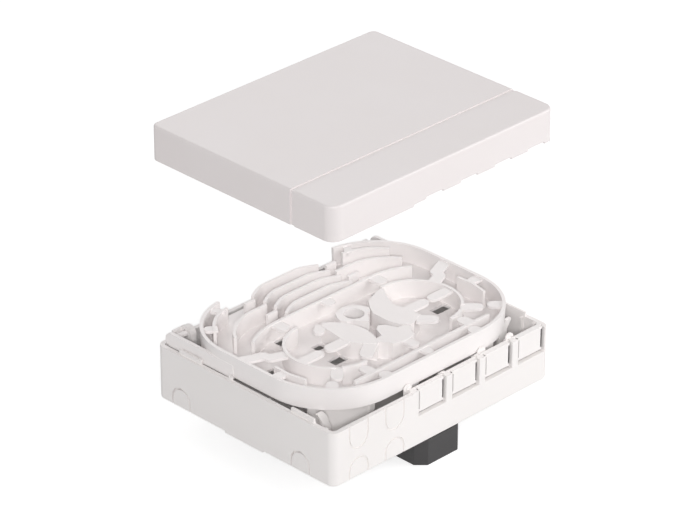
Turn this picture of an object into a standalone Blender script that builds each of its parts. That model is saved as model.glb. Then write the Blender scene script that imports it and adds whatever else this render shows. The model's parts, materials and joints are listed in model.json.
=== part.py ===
"""DIN rail fibre box: a white ABS base with four blanked port slots, a lift-off lid,
a hinged one-piece splice tray and a black rail foot with a sprung latch.

The lid is modelled lifted straight up off the base. X runs along the port side,
the ports face -Y, and Z is up. The origin is under the middle of the box, on the
plane that the rail foot stands on.
"""

import math

import bpy

MM = 0.001

# Driving sizes of the housing.
BOX_LENGTH = 122 * MM
BOX_WIDTH = 100 * MM
BASE_HEIGHT = 24 * MM
BASE_WALL = 2 * MM
BASE_FLOOR = 2 * MM
BASE_CORNER = 3.5 * MM
BASE_EDGE = 0.8 * MM
LID_HEIGHT = 15 * MM
LID_WALL = 1.8 * MM
LID_TOP = 2 * MM
LID_CORNER = 3 * MM
LID_EDGE = 0.9 * MM
LID_LIFT = 82.2 * MM
SEAM_GAP = 0.3 * MM

# Rail foot, for a 35 mm top-hat rail with 1 mm flanges.
FOOT_DEPTH = 12 * MM
FOOT_WIDTH = 25 * MM
FOOT_CHAMFER = 4 * MM
FOOT_REAR = 34 * MM
FOOT_FRONT_WALL = 4 * MM
RAIL_WIDTH = 35 * MM
RAIL_SLOT = 1.6 * MM
HOOK_DEPTH = 3.2 * MM
HOOK_REACH = 1.6 * MM
RAIL_GAP = 0.3 * MM

# Latch and its spring.
LATCH_WIDTH = 14 * MM
LATCH_TONGUE = 10.8 * MM
LATCH_THICK = 2.8 * MM
LATCH_LENGTH = 14 * MM
LATCH_LIP = 1 * MM
LATCH_GAP = 0.3 * MM
TOOL_SLOT = 2.6 * MM
SPRING_RADIUS = 1.3 * MM
SPRING_WIRE = 0.5 * MM
SPRING_TURNS = 6

# Screws that hold the foot to the base.
SCREW_SHANK = 1.5 * MM
SCREW_HEAD = 3 * MM
SCREW_HEAD_HEIGHT = 2 * MM
SCREW_DEPTH = 5 * MM
SCREW_FRONT = 12 * MM
SCREW_REAR = 8 * MM

# Ports: slots in the front wall, and the blanking plates in them.
PORT_COUNT = 4
PORT_PITCH = 18.9 * MM
PORT_SLOT = 15.6 * MM
PORT_SILL = 13 * MM
PORT_LAST = 10.7 * MM
PORT_RAIL = 1.2 * MM
PORT_GROOVE = 1.8 * MM
BLANK_GAP = 0.8 * MM
BLANK_RECESS = 0.8 * MM
BLANK_RISE = 0.6 * MM
BLANK_THICK = 1.2 * MM
BLANK_GRIP = 0.5 * MM

# Knock-outs in the walls.
KNOCKOUT_WIDTH = 10 * MM
KNOCKOUT_HIGH = 11 * MM
KNOCKOUT_LOW = 8.8 * MM
KNOCKOUT_GROOVE = 0.8 * MM
KNOCKOUT_DEPTH = 0.6 * MM
FRONT_KNOCKOUTS = (13.8 * MM, 33.5 * MM)
SIDE_KNOCKOUT_FRONT = 18.2 * MM
SIDE_KNOCKOUT_BACK = 14 * MM

# Lips, fingers and ribs of the base.
LIP_INSET = 1.1 * MM
LIP_THICK = 1 * MM
LIP_RISE = 1.9 * MM
LIP_LENGTH = 12.4 * MM
LIP_FRONT = 18 * MM
LIP_BACK = 18.5 * MM
BACK_TAB_WIDTH = 6.8 * MM
BACK_TAB_RISE = 4.6 * MM
FINGER_WIDTH = 4.4 * MM
FINGER_THICK = 0.65 * MM
FINGER_RISE = 2.6 * MM
GUIDE_RADIUS = 22 * MM
GUIDE_THICK = 1.6 * MM
HOOK_PLACE = 15 * MM
WALL_RIB = 1.2 * MM
PAD_LENGTH = 22 * MM
PAD_RISE = 0.4 * MM

# Splice tray. Its layout is drawn on a grid that is 117 wide and reaches from 4.4 to
# 95.6 behind the port wall, in units of 1 mm at the size modelled here. The grid
# stretches with the tub.
GRID_HALF = 58.5
GRID_FRONT = 4.4
GRID_BACK = 95.6
TRAY_SIDE_GAP = 2.5 * MM
TRAY_END_GAP = 4.4 * MM
TRAY_LEVEL = 24.5 * MM
TRAY_HEIGHT = 9.5 * MM
TRAY_WALL = 1.5 * MM
TRAY_DRAFT = 0.5 * MM
TRAY_FLOOR = 1.2 * MM
TRAY_CORNER = 31
TRAY_BACK_CORNER = 30
TRAY_RIB = 1.3 * MM
RING_RADIUS = 18.8
RING_OFFSET = 23.6
RING_CENTRE = 38.8
FINGER_HOLE = 4.2 * MM
TAB_THICK = 1.2 * MM
TAB_DROP = 0.25 * MM

# Hinge of the tray.
HINGE_INSET = 5.6 * MM
HINGE_LEVEL = 26.8 * MM
PIN_RADIUS = 1.3 * MM
PIN_GAP = 0.3 * MM
ARM_THICK = 1.6 * MM
ARM_RADIUS = 3 * MM
ARM_LENGTH = 36 * MM
EAR_INSET = 10.6 * MM
EAR_THICK = 3 * MM
EAR_RADIUS = 3.2 * MM

# Shared levels and edges, worked out from the sizes above.
LEFT = -BOX_LENGTH / 2
RIGHT = BOX_LENGTH / 2
FRONT = -BOX_WIDTH / 2
BACK = BOX_WIDTH / 2
BASE_BOTTOM = FOOT_DEPTH
RIM = BASE_BOTTOM + BASE_HEIGHT
FLOOR_TOP = BASE_BOTTOM + BASE_FLOOR
LID_BOTTOM = RIM + SEAM_GAP + LID_LIFT
LID_SUMMIT = LID_BOTTOM + LID_HEIGHT
TRAY_LENGTH = BOX_LENGTH - 2 * TRAY_SIDE_GAP
TRAY_BOTTOM = BASE_BOTTOM + TRAY_LEVEL
TRAY_RIM = TRAY_BOTTOM + TRAY_HEIGHT
RIB_TOP = TRAY_RIM - 0.4 * MM
HINGE_Y = BACK - HINGE_INSET
HINGE_Z = BASE_BOTTOM + HINGE_LEVEL


def clear_scene():
    for thing in list(bpy.data.objects):
        bpy.data.objects.remove(thing)


def plastic(name, colour, roughness):
    made = bpy.data.materials.new(name)
    made.use_nodes = True
    shader = made.node_tree.nodes["Principled BSDF"]
    shader.inputs["Base Color"].default_value = (*colour, 1)
    shader.inputs["Roughness"].default_value = roughness
    return made


def steel(name):
    made = plastic(name, (0.62, 0.62, 0.64), 0.3)
    made.node_tree.nodes["Principled BSDF"].inputs["Metallic"].default_value = 1
    return made


def arc(centre, radius, start, stop, steps):
    """Points along an arc, angles in degrees."""
    turns = [math.radians(start + (stop - start) * k / steps) for k in range(steps + 1)]
    return [(centre[0] + radius * math.cos(a), centre[1] + radius * math.sin(a)) for a in turns]


def rounded(x0, y0, x1, y1, radius, steps=5):
    """Outline of a rectangle with round corners, anticlockwise."""
    corners = ((x1, y0, -90), (x1, y1, 0), (x0, y1, 90), (x0, y0, 180))
    points = []
    for x, y, start in corners:
        cx = x - radius if x == x1 else x + radius
        cy = y - radius if y == y1 else y + radius
        points += arc((cx, cy), radius, start, start + 90, steps)
    return points


def flip(points):
    """The same outline on the other side of the middle plane, still anticlockwise."""
    return [(-x, y) for x, y in reversed(points)]


def offset_path(path, inset):
    """An open path moved to its left by an even distance."""
    wide = ribbon(path, 2 * inset)
    return wide[len(path) :][::-1]


def ribbon(path, thickness):
    """Outline of a wall of even thickness whose middle follows an open path."""
    left, right = [], []
    for k, (x, y) in enumerate(path):
        ax, ay = path[max(k - 1, 0)]
        bx, by = path[min(k + 1, len(path) - 1)]
        dx, dy = bx - ax, by - ay
        size = math.hypot(dx, dy)
        turn = 1.0
        if 0 < k < len(path) - 1:
            ux, uy = x - ax, y - ay
            turn = (ux * dx + uy * dy) / (math.hypot(ux, uy) * size)
        half = thickness / 2 / max(turn, 0.5)
        left.append((x - dy / size * half, y + dx / size * half))
        right.append((x + dy / size * half, y - dx / size * half))
    return right + left[::-1]


def anticlockwise(points):
    total = 0
    for (ax, ay), (bx, by) in zip(points, points[1:] + points[:1]):
        total += ax * by - bx * ay
    return points if total > 0 else points[::-1]


def lay_flat(u, v, w):
    return (u, v, w)


def along_x(u, v, w):
    """An outline drawn in Y and Z, with its depth along X."""
    return (w, u, v)


def along_y(u, v, w):
    """An outline drawn in X and Z, with its depth along Y."""
    return (u, -w, v)


def loft(name, sections, place=lay_flat):
    """A closed solid through matching outlines, each with its own level."""
    count = len(sections[0][0])
    vertices = [place(u, v, level) for outline, level in sections for u, v in outline]
    faces = [tuple(reversed(range(count)))]
    faces.append(tuple(range(len(vertices) - count, len(vertices))))
    for ring in range(len(sections) - 1):
        low = ring * count
        for k in range(count):
            after = (k + 1) % count
            faces.append((low + k, low + after, low + count + after, low + count + k))
    mesh = bpy.data.meshes.new(name)
    mesh.from_pydata(vertices, [], faces)
    made = bpy.data.objects.new(name, mesh)
    bpy.context.scene.collection.objects.link(made)
    return made


def prism(name, outline, low, high, place=lay_flat):
    return loft(name, [(outline, low), (outline, high)], place)


def block(name, low, high):
    outline = [(low[0], low[1]), (high[0], low[1]), (high[0], high[1]), (low[0], high[1])]
    return prism(name, outline, low[2], high[2])


def circle(centre, radius, steps=20):
    return arc(centre, radius, 0, 360, steps)[:-1]


def guide(thing):
    """Marks a solid that only cuts or joins another."""
    thing.hide_render = True
    thing.display_type = "WIRE"
    thing.hide_set(True)


def combine(target, pieces, operation):
    """One Boolean step with all the pieces, which stay as guides."""
    group = bpy.data.collections.new(f"{target.name}_{operation.lower()}")
    bpy.context.scene.collection.children.link(group)
    for piece in pieces:
        bpy.context.scene.collection.objects.unlink(piece)
        group.objects.link(piece)
        guide(piece)
    step = target.modifiers.new(operation.lower(), "BOOLEAN")
    step.operation = operation
    step.solver = "EXACT"
    step.operand_type = "COLLECTION"
    step.collection = group


def fuse(target, pieces):
    combine(target, pieces, "UNION")


def carve(target, pieces):
    combine(target, pieces, "DIFFERENCE")


def finish(target, material, smooth_below=40):
    """Gives a piece its material and smooth round faces."""
    target.data.materials.append(material)
    target.data.shade_smooth()
    target.data.set_sharp_from_angle(angle=math.radians(smooth_below))


def set_origin(target, x, y, z):
    """Moves a piece's origin without moving the piece."""
    for vertex in target.data.vertices:
        vertex.co.x -= x
        vertex.co.y -= y
        vertex.co.z -= z
    target.location = (x, y, z)


def box_outline(inset, radius):
    return rounded(LEFT + inset, FRONT + inset, RIGHT - inset, BACK - inset, radius)


def screw_places():
    return (FRONT + SCREW_FRONT, FOOT_REAR - SCREW_REAR)


def port_centres():
    last = RIGHT - PORT_LAST
    return [last - PORT_PITCH * k for k in reversed(range(PORT_COUNT))]


def knockout_groove(name, centre, height, upright, outer, place):
    """A U groove in a wall; upright ones open at the rim, the others at the bottom."""
    radius = KNOCKOUT_WIDTH / 2
    if upright:
        level = RIM - height + radius
        path = [(centre - radius, RIM + MM)]
        path += arc((centre, level), radius, 180, 360, 8)
        path += [(centre + radius, RIM + MM)]
    else:
        level = BASE_BOTTOM + height - radius
        path = [(centre - radius, BASE_BOTTOM - MM)]
        path += arc((centre, level), radius, 180, 0, 8)
        path += [(centre + radius, BASE_BOTTOM - MM)]
    outline = ribbon(path, KNOCKOUT_GROOVE)
    return prism(name, outline, outer - KNOCKOUT_DEPTH, outer + MM, place)


def base_cuts():
    """Everything that is taken out of the base shell."""
    inner = BASE_CORNER - BASE_WALL
    cuts = [prism("base_cavity", box_outline(BASE_WALL, inner), FLOOR_TOP, RIM + MM)]
    for k, centre in enumerate(port_centres()):
        low = (centre - PORT_SLOT / 2, FRONT - MM, BASE_BOTTOM + PORT_SILL)
        high = (centre + PORT_SLOT / 2, FRONT + BASE_WALL + 0.5 * MM, RIM + 2 * MM)
        cuts.append(block(f"port_slot_{k + 1}", low, high))
    reach = centre + PORT_SLOT / 2 + BLANK_GRIP + SEAM_GAP
    inside = FRONT + BASE_WALL
    groove_low = (centre, inside + 0.02 * MM, low[2] - MM)
    cuts.append(block("last_groove", groove_low, (reach, inside + PORT_GROOVE, RIM + MM)))
    for k, place in enumerate(FRONT_KNOCKOUTS):
        x = LEFT + place
        cuts.append(knockout_groove(f"front_high_{k}", x, KNOCKOUT_HIGH, True, -FRONT, along_y))
        cuts.append(knockout_groove(f"front_low_{k}", x, KNOCKOUT_LOW, False, -FRONT, along_y))
    for k, y in enumerate((FRONT + SIDE_KNOCKOUT_FRONT, BACK - SIDE_KNOCKOUT_BACK)):
        for side, wall in (("left", LEFT), ("right", RIGHT)):
            groove = knockout_groove(f"{side}_low_{k}", y, KNOCKOUT_LOW, False, 0, along_x)
            middle = KNOCKOUT_DEPTH / 2 - MM / 2
            groove.location.x = wall + (middle if wall > 0 else -middle) - middle
            cuts.append(groove)
    for k, y in enumerate(screw_places()):
        hole = circle((0, y), SCREW_SHANK + PIN_GAP, 16)
        cuts.append(prism(f"floor_hole_{k}", hole, BASE_BOTTOM - MM, FLOOR_TOP + MM))
    return cuts


def port_rails():
    """I-shaped posts behind the front wall, with the grooves that hold the plates."""
    rails = []
    back_face = FRONT + BASE_WALL
    rail_front = back_face + PORT_GROOVE
    low = BASE_BOTTOM + PORT_SILL - 2 * MM
    top = RIM + BLANK_RISE
    centres = port_centres()
    edges = [centres[0] - PORT_PITCH / 2] + [c + PORT_PITCH / 2 for c in centres]
    post = PORT_PITCH - PORT_SLOT
    web = post - 2 * (BLANK_GRIP + SEAM_GAP)
    for k, x in enumerate(edges[:-1]):
        face_low = (x - post / 2, FRONT, RIM - MM)
        rails.append(block(f"post_top_{k}", face_low, (x + post / 2, back_face, top)))
        stem = ((x - web / 2, back_face - 0.5 * MM, low), (x + web / 2, rail_front + 0.4 * MM, top))
        cap_end = (x + post / 2, rail_front + PORT_RAIL, RIM)
        rails.append(block(f"rail_web_{k}", *stem))
        rails.append(block(f"rail_cap_{k}", (x - post / 2, rail_front, low - MM), cap_end))
    last_low = (centres[-1] + PORT_SLOT / 2, rail_front, low - MM)
    last_high = (RIGHT - BASE_WALL + 0.5 * MM, rail_front + PORT_RAIL, RIM)
    rails.append(block("rail_cap_last", last_low, last_high))
    for k, x in enumerate((edges[0] - 0.4 * MM, edges[2] + 3.4 * MM, edges[3] + 0.6 * MM)):
        half = FINGER_WIDTH / 2
        outline = [(x - half, low), (x + half, low)]
        outline += arc((x, RIM + FINGER_RISE - half), half, 0, 180, 8)
        rear = rail_front + FINGER_THICK
        rails.append(prism(f"tall_finger_{k}", outline, -rear, -rail_front + 0.01 * MM, along_y))
    return rails


def rim_lips():
    """Snap lips and nubs that rise inside the rim of the short walls, and the back tabs."""
    lips = []
    for side in (-1, 1):
        near = RIGHT - LIP_INSET
        xs = sorted((side * near, side * (near - LIP_THICK)))
        for k, y in enumerate((FRONT + LIP_FRONT, BACK - LIP_BACK)):
            low = (xs[0], y - LIP_LENGTH / 2, RIM - 6 * MM)
            high = (xs[1], y + LIP_LENGTH / 2, RIM + LIP_RISE)
            lips.append(block(f"lip_{side}_{k}", low, high))
        nub = BACK - 41.5 * MM
        nub_high = (xs[1], nub + 0.9 * MM, RIM + LIP_RISE - 0.3 * MM)
        lips.append(block(f"nub_{side}", (xs[0], nub - 0.9 * MM, RIM - 6 * MM), nub_high))
        inner = RIGHT - EAR_INSET - 2.6 * MM
        xs = sorted((side * inner, side * (inner + BACK_TAB_WIDTH)))
        tab_back = BACK - BASE_WALL - 0.2 * MM
        low = (xs[0], tab_back - 1.2 * MM, RIM - 5 * MM)
        lips.append(block(f"back_tab_{side}", low, (xs[1], tab_back, RIM + BACK_TAB_RISE)))
        foot = (xs[1], BACK - BASE_WALL / 2, RIM - 0.8 * MM)
        lips.append(block(f"back_tab_foot_{side}", low, foot))
    return lips


def hinge_ears():
    """Plates that stand on the floor against the back wall and carry the tray's pins."""
    ears = []
    rear = BACK - BASE_WALL / 2
    outline = [(rear, FLOOR_TOP - MM), (rear, RIM - 2 * MM), (HINGE_Y + EAR_RADIUS, HINGE_Z - 2 * MM)]
    outline += arc((HINGE_Y, HINGE_Z), EAR_RADIUS, 0, 180, 10)
    outline += [(HINGE_Y - EAR_RADIUS, FLOOR_TOP - MM)]
    for side in (-1, 1):
        xs = sorted((side * (RIGHT - EAR_INSET), side * (RIGHT - EAR_INSET - EAR_THICK)))
        ears.append(prism(f"ear_{side}", outline[::-1], xs[0], xs[1], along_x))
    return ears


def floor_guides():
    """What stands on the floor: fibre guides, cable hooks, tray rests and wall ribs."""
    guides = []
    low = FLOOR_TOP - MM
    top = TRAY_BOTTOM - 0.5 * MM
    hook = [(8.9, -1), (13.5, -1), (13.5, 15.6), (12.4, 16.7), (12, 18.6), (10.9, 20.7), (9.8, 22)]
    hook += [(6.6, 22), (6.7, 21.3), (8.9, 18.1)]
    for side in (-1, 1):
        corner = (side * (RIGHT - 33.3 * MM), FRONT + 35.3 * MM)
        start, stop = (270, 338) if side > 0 else (202, 270)
        wall = ribbon(arc(corner, GUIDE_RADIUS, start, stop, 8), GUIDE_THICK)
        guides.append(prism(f"fibre_guide_{side}", anticlockwise(wall), low, top))
        x = corner[0]
        y = corner[1] - GUIDE_RADIUS
        post = (x - 1.4 * MM, y - 1.2 * MM, low)
        guides.append(block(f"guide_post_{side}", post, (x + 1.4 * MM, y + 1.2 * MM, top)))
        outline = [(side * (RIGHT - u * MM), FLOOR_TOP + w * MM) for u, w in hook]
        near = -FRONT - HOOK_PLACE
        hook_solid = prism(f"cable_hook_{side}", anticlockwise(outline), near - 1.4 * MM, near, along_y)
        guides.append(hook_solid)
        xs = sorted((side * (RIGHT - BASE_WALL / 2), side * (RIGHT - BASE_WALL - WALL_RIB)))
        for k, place in enumerate((6.5 * MM, 13.2 * MM, 38 * MM, 62 * MM)):
            y = FRONT + place
            rib_high = (xs[1], y + WALL_RIB / 2, RIM - 0.6 * MM)
            guides.append(block(f"wall_rib_{side}_{k}", (xs[0], y - WALL_RIB / 2, low), rib_high))
    for k, x in enumerate((-8 * MM, 34.5 * MM)):
        rest = [(x - 2 * MM, low), (x + 2 * MM, low), (x + 2 * MM, top - 2 * MM)]
        rest += arc((x, top - 2 * MM), 2 * MM, 0, 180, 8)[1:]
        y = FRONT + 8 * MM
        guides.append(prism(f"tray_rest_{k}", rest, -y - 1.4 * MM, -y, along_y))
    return guides


def base_pads():
    """Low pads under the short walls."""
    pads = []
    for side in (-1, 1):
        xs = sorted((side * RIGHT, side * (RIGHT - 4 * MM)))
        outline = [(-PAD_LENGTH / 2, BASE_BOTTOM + MM), (PAD_LENGTH / 2, BASE_BOTTOM + MM)]
        outline += [(PAD_LENGTH / 2 - 0.4 * MM, BASE_BOTTOM - PAD_RISE)]
        outline += [(0.4 * MM - PAD_LENGTH / 2, BASE_BOTTOM - PAD_RISE)]
        pads.append(prism(f"pad_{side}", anticlockwise(outline), xs[0], xs[1], along_x))
    return pads


def make_base(material):
    bottom = BASE_BOTTOM
    edge = BASE_EDGE
    sections = [
        (box_outline(edge, BASE_CORNER - edge), bottom),
        (box_outline(edge * 0.3, BASE_CORNER - edge * 0.3), bottom + edge * 0.3),
        (box_outline(0, BASE_CORNER), bottom + edge),
        (box_outline(0, BASE_CORNER), RIM),
    ]
    base = loft("base_shell", sections)
    carve(base, base_cuts())
    fuse(base, port_rails() + rim_lips() + hinge_ears() + floor_guides() + base_pads())
    holes = []
    for side in (-1, 1):
        middle = side * (RIGHT - EAR_INSET - EAR_THICK / 2)
        hole = circle((HINGE_Y, HINGE_Z), PIN_RADIUS + PIN_GAP, 16)
        reach = EAR_THICK / 2 + 0.4 * MM
        holes.append(prism(f"ear_hole_{side}", hole, middle - reach, middle + reach, along_x))
    carve(base, holes)
    finish(base, material)
    return base


def make_lid(material):
    top = LID_SUMMIT
    edge = LID_EDGE
    low = LID_BOTTOM
    sections = [(box_outline(0, LID_CORNER), low), (box_outline(0, LID_CORNER), top - edge)]
    for turn in (30, 60, 90):
        inset = edge * (1 - math.cos(math.radians(turn)))
        level = top - edge * (1 - math.sin(math.radians(turn)))
        sections.append((box_outline(inset, LID_CORNER - inset), level))
    lid = loft("lid_cover", sections)
    inner = box_outline(LID_WALL, LID_CORNER - LID_WALL)
    step = box_outline(LID_WALL / 2, LID_CORNER - LID_WALL / 2)
    cuts = [prism("lid_cavity", inner, low - MM, top - LID_TOP)]
    cuts.append(prism("lid_step", step, low - MM, low + LIP_RISE + 2 * SEAM_GAP))
    line = FRONT + 20.6 * MM
    depth = 0.3 * MM
    cuts.append(block("lid_line", (LEFT - MM, line, top - depth), (RIGHT + MM, line + MM, top + MM)))
    for side in (-1, 1):
        xs = sorted((side * (RIGHT - depth), side * (RIGHT + MM)))
        cuts.append(block(f"lid_line_{side}", (xs[0], line, low - MM), (xs[1], line + MM, top + MM)))
    wall_back = FRONT + LID_WALL + 0.5 * MM
    centres = port_centres()
    first_post = centres[0] - PORT_PITCH + PORT_SLOT / 2
    start = first_post - SEAM_GAP
    rise = BLANK_RISE + SEAM_GAP
    relief_end = (RIGHT - BASE_WALL, wall_back, low + rise)
    cuts.append(block("lid_port_relief", (start, FRONT - MM, low - MM), relief_end))
    for k, centre in enumerate(centres):
        reach = PORT_SLOT * 0.3
        notch = (centre - reach, FRONT - MM, low - MM)
        cuts.append(block(f"lid_notch_{k}", notch, (centre + reach, wall_back, low + 2 * rise)))
    carve(lid, cuts)
    finish(lid, material)
    return lid


def make_blank(number, centre, material):
    """A blanking plate: a front panel with side flanges that run in the posts' grooves."""
    panel = PORT_SLOT / 2 - BLANK_GAP
    flange = PORT_SLOT / 2 + BLANK_GRIP
    front = FRONT + BLANK_RECESS
    middle = FRONT + BASE_WALL + SEAM_GAP
    rear = middle + BLANK_THICK
    outline = [
        (centre - panel, front),
        (centre + panel, front),
        (centre + panel, middle),
        (centre + flange, middle),
        (centre + flange, rear),
        (centre - flange, rear),
        (centre - flange, middle),
        (centre - panel, middle),
    ]
    low = BASE_BOTTOM + PORT_SILL + SEAM_GAP
    blank = prism(f"port_blank_{number}", outline, low, RIM + BLANK_RISE)
    gap_low = (centre - PORT_SLOT, front - MM, low - MM)
    gap_high = (centre + PORT_SLOT, middle, low + BLANK_GAP)
    carve(blank, [block(f"blank_foot_{number}", gap_low, gap_high)])
    finish(blank, material)
    set_origin(blank, centre, front, low)
    return blank


def on_tray(points):
    """Points of the tray's grid as positions: offset from the middle, distance from the port wall."""
    across = TRAY_LENGTH / 2 / GRID_HALF
    depth = (BOX_WIDTH - 2 * TRAY_END_GAP) / (GRID_BACK - GRID_FRONT)
    start = FRONT + TRAY_END_GAP
    return [(u * across, start + (v - GRID_FRONT) * depth) for u, v in points]


def tray_path(inset):
    """The tub's outline from the left back corner round the front to the right one."""
    half = GRID_HALF
    back = GRID_BACK
    rear, corner = TRAY_BACK_CORNER, TRAY_CORNER
    path = arc((rear - half, back - rear), rear, 97, 180, 12)
    path += arc((corner - half, GRID_FRONT + corner), corner, 180, 270, 16)
    path += arc((half - corner, GRID_FRONT + corner), corner, 270, 360, 16)
    path += arc((half - rear, back - rear), rear, 0, 83, 12)
    return offset_path(on_tray(path), inset)


def long_wall():
    """The straight wall in front of the splice ribs, with a swept vane at each end."""
    right = arc((27, 36.2), 30.8, 90, 55, 5)
    return flip(right) + right


def outer_vane():
    return arc((29.5, 66.8), 22.7, 83, 31, 6)


def inner_vane():
    return [(19.5, 80.1)] + arc((27, 56.8), 23.3, 90, 32, 6)


def middle_rib(place):
    """A splice rib: flat in the middle, falling away towards both ends."""
    flat, reach, drop = 9, 18.5, 4
    right = []
    for k in range(5):
        part = k / 4
        right.append((flat + (reach - flat) * part, place - drop * part**1.5))
    return flip(right) + right


def end_walls():
    """Paths of the thin walls on the tray's grid, each with a name."""
    paths = [("long_wall", long_wall())]
    for k, place in enumerate((73.6, 80, 86.1, 93)):
        paths.append((f"middle_rib_{k}", middle_rib(place)))
    paths.append(("front_wall", [(-37.6, 12), (37.6, 12)]))
    for name, path in (
        ("outer_vane", outer_vane()),
        ("inner_vane", inner_vane()),
        ("short_rib_a", [(20, 86.3), (25.5, 86.3)]),
        ("short_rib_b", [(20, 73.5), (25.5, 73.5)]),
        ("side_wall", [(51.3, 42), (51.7, 34), (50, 26)]),
    ):
        paths.append((f"{name}_right", path))
        paths.append((f"{name}_left", flip(path)))
    return paths


def ring_walls():
    """The two fibre coil rings, each with its gaps towards the middle."""
    right = (RING_OFFSET, RING_CENTRE)
    left = (-RING_OFFSET, RING_CENTRE)
    return [
        ("ring_upper_right", arc(right, RING_RADIUS, 92, -50, 18)),
        ("ring_lower_right", arc(right, RING_RADIUS, -62, -88, 4)),
        ("ring_upper_left", arc(left, RING_RADIUS, 92, 230, 18)),
        ("ring_lower_left", arc(left, RING_RADIUS, 238, 272, 4)),
    ]


def islands():
    """Outlines of the solid islands, at rib height."""
    boss = [(-8, 49.5), (-6.5, 47.2), (-4, 46.5), (-2.5, 44), (0, 41.3), (2.5, 44), (4, 46.5)]
    boss += [(6.5, 47.2), (8, 49.5), (7, 52.5), (5, 55.5), (0, 57), (-5, 55.5), (-7, 52.5)]
    heart = [(0, 36.6), (-2.5, 35), (-4, 31.5), (-4.5, 30), (-7.5, 29.8), (-9, 27.5), (-7.7, 25.2)]
    heart += [(-6.5, 24.3), (-6.1, 22.3), (-2.7, 20.8), (0, 20.4), (2.7, 20.8), (6.1, 22.3)]
    heart += [(6.5, 24.3), (7.7, 25.2), (9, 27.5), (7.5, 29.8), (4.5, 30), (4, 31.5), (2.5, 35)]
    left = [(-17.1, 43.6), (-18, 38.1), (-16.6, 33.5), (-13.4, 29.9), (-10.6, 26.2), (-8.3, 28)]
    left += [(-6.2, 33.5), (-5.5, 38.1), (-6.2, 43.6), (-8.7, 48.2), (-11.1, 51.4), (-14.3, 53.7)]
    left += [(-16.2, 52)]
    right = [(5.9, 33.5), (5.5, 38), (5.7, 45), (8, 49), (11.7, 53.6), (19.2, 56.4), (23.6, 57.2)]
    right += [(19, 50), (16.5, 44), (17.3, 40.8), (18.3, 36), (18.3, 31), (14.5, 29.5)]
    right += [(11.5, 28), (8.5, 29.5)]
    named = {"boss": boss, "heart": heart, "island_left": left, "island_right": right}
    return {name: anticlockwise(on_tray(points)) for name, points in named.items()}


def bar(start, end, width):
    """A flat bar with a round tip, from start to end."""
    turn = math.degrees(math.atan2(end[1] - start[1], end[0] - start[0]))
    outline = arc(end, width / 2, turn - 90, turn + 90, 5)
    side = math.radians(turn + 90)
    dx, dy = math.cos(side) * width / 2, math.sin(side) * width / 2
    return outline + [(start[0] + dx, start[1] + dy), (start[0] - dx, start[1] - dy)]


def tab_bars():
    """Retaining tabs on the tray's grid: from, to and width."""
    both = [
        ((57.5, 36), (53.8, 36), 4.5),
        ((57.5, 55), (48.5, 51.5), 5),
        ((41.5, 46), (47.5, 48.5), 5),
        ((34.5, 24.5), (39.5, 19.8), 5),
        ((48.2, 13.6), (45.2, 16.6), 5),
        ((25, 5), (25, 7.6), 5.5),
        ((27.5, 11.8), (27.5, 16), 5.2),
        ((27.3, 66.8), (27.3, 62), 5.2),
        ((38, 92.5), (35.5, 88.8), 3.2),
        ((41.5, 37.5), (32, 37.5), 4.6),
    ]
    tabs = [(f"tab_{k}_right", a, b, w) for k, (a, b, w) in enumerate(both)]
    tabs += [(f"tab_{k}_left", (-a[0], a[1]), (-b[0], b[1]), w) for k, (a, b, w) in enumerate(both)]
    tabs += [
        ("tab_front", (0, 11.8), (0, 9), 4.6),
        ("tab_heart", (0, 21), (0, 16.8), 4.6),
        ("tab_boss", (0, 66.8), (0, 64), 5),
        ("tab_island_a", (-17, 37.5), (-25.5, 37.5), 5),
        ("tab_island_b", (17.5, 37.5), (26.5, 37.5), 5),
        ("tab_island_c", (-15.5, 53), (-19.5, 50), 4.4),
        ("tab_island_d", (-10, 30), (-19, 24), 5.6),
        ("tab_island_e", (15, 30), (19.5, 25.5), 5.6),
        ("tab_vane", (-46.3, 79.8), (-49.2, 82), 4),
    ]
    return tabs


def floor_windows():
    """Openings in the tray's floor under the larger tabs, where the mould's cores passed."""
    places = [(-36.8, 37.5, 8, 4.6), (-21.5, 37.5, 7, 5), (22, 37.5, 7, 5), (36.8, 37.5, 8, 4.6)]
    places += [(-19.5, 50, 5, 4), (-27.3, 63.4, 5, 4.4), (27.3, 63.4, 5, 4.4)]
    places += [(-27.5, 15, 4.6, 4), (27.5, 15, 4.6, 4), (47, 49, 6, 4), (-47, 49, 6, 4)]
    windows = []
    for k, (u, v, length, width) in enumerate(places):
        corners = [(u - length / 2, v - width / 2), (u + length / 2, v + width / 2)]
        (x0, y0), (x1, y1) = on_tray(corners)
        low = (x0, y0, TRAY_BOTTOM - MM)
        windows.append(block(f"window_{k}", low, (x1, y1, TRAY_BOTTOM + TRAY_FLOOR + MM)))
    return windows


def tray_arms():
    """Side arms that run back from the tub, and the hinge pins on their inner faces."""
    arms = []
    outer = TRAY_LENGTH / 2 - 0.1 * MM
    low = HINGE_Z - ARM_RADIUS
    high = HINGE_Z + ARM_RADIUS
    outline = [(HINGE_Y - ARM_LENGTH, low), (HINGE_Y, low)]
    outline += arc((HINGE_Y, HINGE_Z), ARM_RADIUS, -90, 90, 8)[1:]
    outline += [(HINGE_Y - ARM_LENGTH, high)]
    pin = circle((HINGE_Y, HINGE_Z), PIN_RADIUS, 16)
    pin_end = RIGHT - EAR_INSET - EAR_THICK - 0.8 * MM
    for side in (-1, 1):
        xs = sorted((side * outer, side * (outer - ARM_THICK)))
        arms.append(prism(f"arm_{side}", outline, xs[0], xs[1], along_x))
        xs = sorted((side * (outer - ARM_THICK / 2), side * pin_end))
        arms.append(prism(f"pin_{side}", pin, xs[0], xs[1], along_x))
    return arms


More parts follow.
